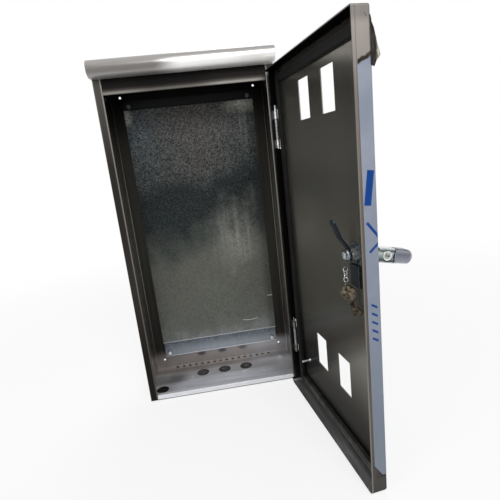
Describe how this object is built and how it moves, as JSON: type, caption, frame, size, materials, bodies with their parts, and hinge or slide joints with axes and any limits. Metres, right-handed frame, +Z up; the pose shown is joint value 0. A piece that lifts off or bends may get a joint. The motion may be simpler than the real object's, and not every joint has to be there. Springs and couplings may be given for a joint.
{
  "type": "electrical distribution box",
  "caption": "Upright stainless wall box with a rolled rain hood, a hinged windowed door with a folding cam lock handle and hanging keys, a galvanised mounting plate and scored knock-outs.",
  "frame": {"origin": "middle of the underside of the cabinet's floor, half way between its front rim and its back", "axes": "+X to the right as one faces the open front, +Y to the back wall, +Z up; the door is on the right"},
  "size_m": [0.4095, 0.4326, 0.6185],
  "materials": {
    "stainless": "brushed stainless sheet",
    "galvanised": "spangled galvanised sheet",
    "zinc_plate": "bright zinc plate",
    "cam_steel": "dull zinc plate",
    "chrome": "polished chrome",
    "rubber": "black foam rubber",
    "film": "blue protective film",
    "brass": "tarnished brass",
    "box_dark": "dark passivated"
  },
  "bodies": {
    "cabinet": {"wrapper": "stainless", "floor_panel": "stainless", "ceiling_panel": "stainless", "rain_hood": "stainless", "mounting_plate": "galvanised", "plate_studs": "zinc_plate", "plate_spacers": "zinc_plate", "plate_washers": "zinc_plate", "plate_nuts": "zinc_plate", "hinge_ears": "stainless", "hinge_pins": "zinc_plate"},
    "door": {"door_panel": "stainless", "door_gasket": "rubber", "hinge_leaves": "stainless", "door_film": "film", "lock_body": "zinc_plate", "lock_rear_box": "box_dark", "ring_nut": "zinc_plate", "key_loop": "zinc_plate", "key_chain": "zinc_plate", "key_ring": "zinc_plate", "keys": "brass"},
    "lock_spindle": {"spindle": "zinc_plate", "cam": "cam_steel", "cam_washer": "zinc_plate", "cam_nut": "zinc_plate"},
    "lock_handle": {"handle": "chrome", "handle_pin": "zinc_plate", "key_barrel": "chrome"},
    "lock_plug": {"key_plug": "brass"}
  },
  "joints": [
    {"name": "door_hinge", "type": "hinge", "parent": "cabinet", "child": "door", "pos_m": [0.1445, -0.077, 0.2904], "axis": [0, 0, 1], "range_deg": [-97.57, 12.4]},
    {"name": "spindle_turn", "type": "hinge", "parent": "door", "child": "lock_spindle", "pos_m": [0.18543, -0.31821, 0.314], "axis": [0.9913, 0.1317, 0], "range_deg": [0, 90]},
    {"name": "handle_fold", "type": "hinge", "parent": "lock_spindle", "child": "lock_handle", "pos_m": [0.19832, -0.3165, 0.3118], "axis": [-0.1317, 0.9913, 0], "range_deg": [-13, 77]},
    {"name": "key_turn", "type": "hinge", "parent": "lock_handle", "child": "lock_plug", "pos_m": [0.22263, -0.32194, 0.3064], "axis": [0.1317, -0.9913, 0], "range_deg": [0, 90]}
  ]
}
